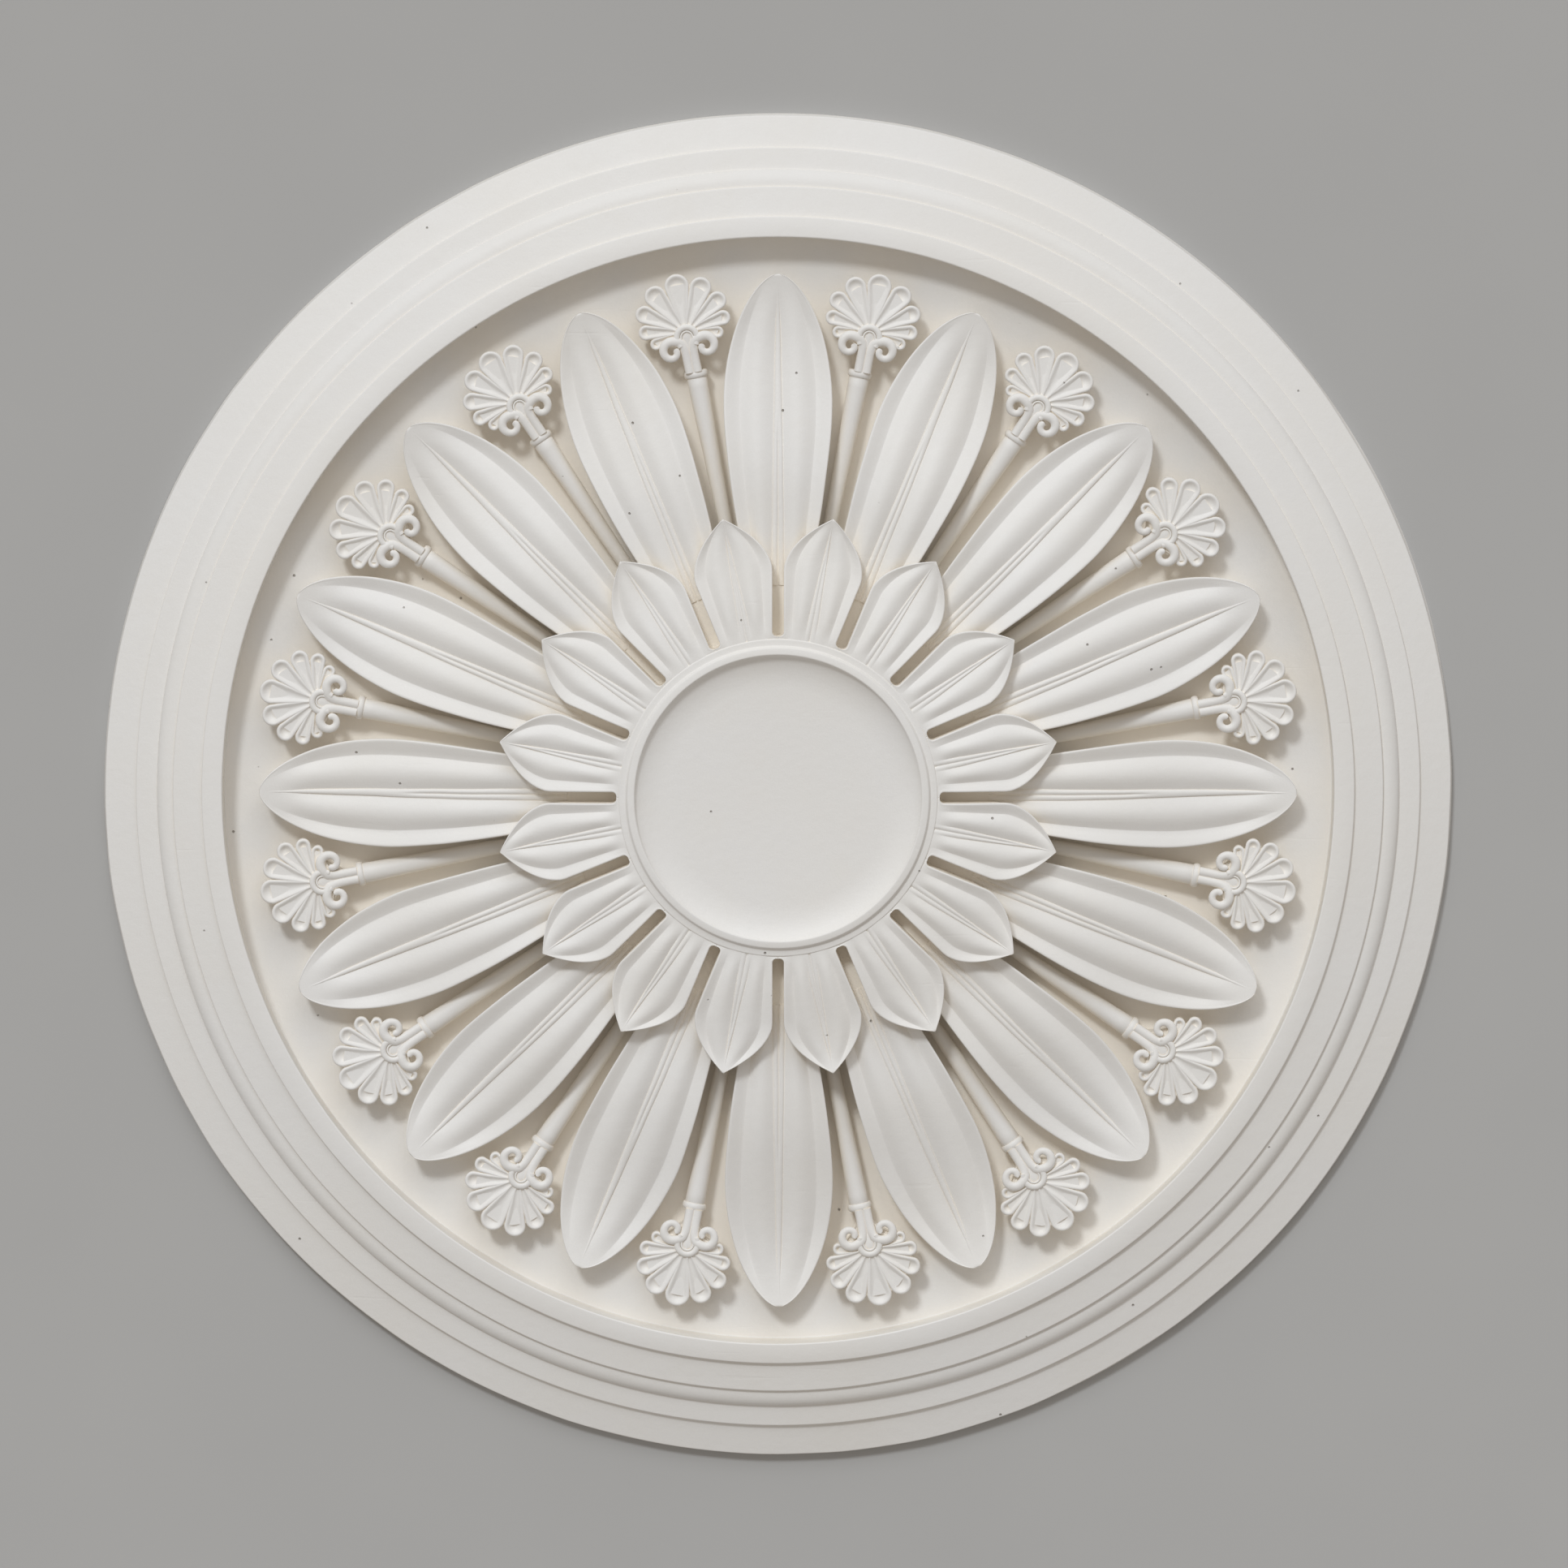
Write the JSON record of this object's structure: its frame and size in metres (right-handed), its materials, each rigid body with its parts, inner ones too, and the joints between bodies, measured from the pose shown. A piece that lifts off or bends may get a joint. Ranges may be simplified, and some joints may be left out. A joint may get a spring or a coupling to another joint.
{
  "type": "ceiling rose",
  "caption": "Round plaster ceiling rose: a moulded frame round a sunk field of long leaves and palmettes on stalks, with a raised rosette of small leaves and a shallow dish at the centre.",
  "frame": {"origin": "centre of the flat back, the face that lies against the ceiling", "axes": "+Z out of the decorated face, away from the ceiling; +Y along one large leaf. Turn the part over, +Z down, to hang it on a ceiling"},
  "size_m": [0.9, 0.9, 0.069],
  "materials": {
    "plaster": "matte cast plaster, unpainted"
  },
  "bodies": {
    "root": {"ceiling_rose": "plaster"}
  },
  "joints": []
}
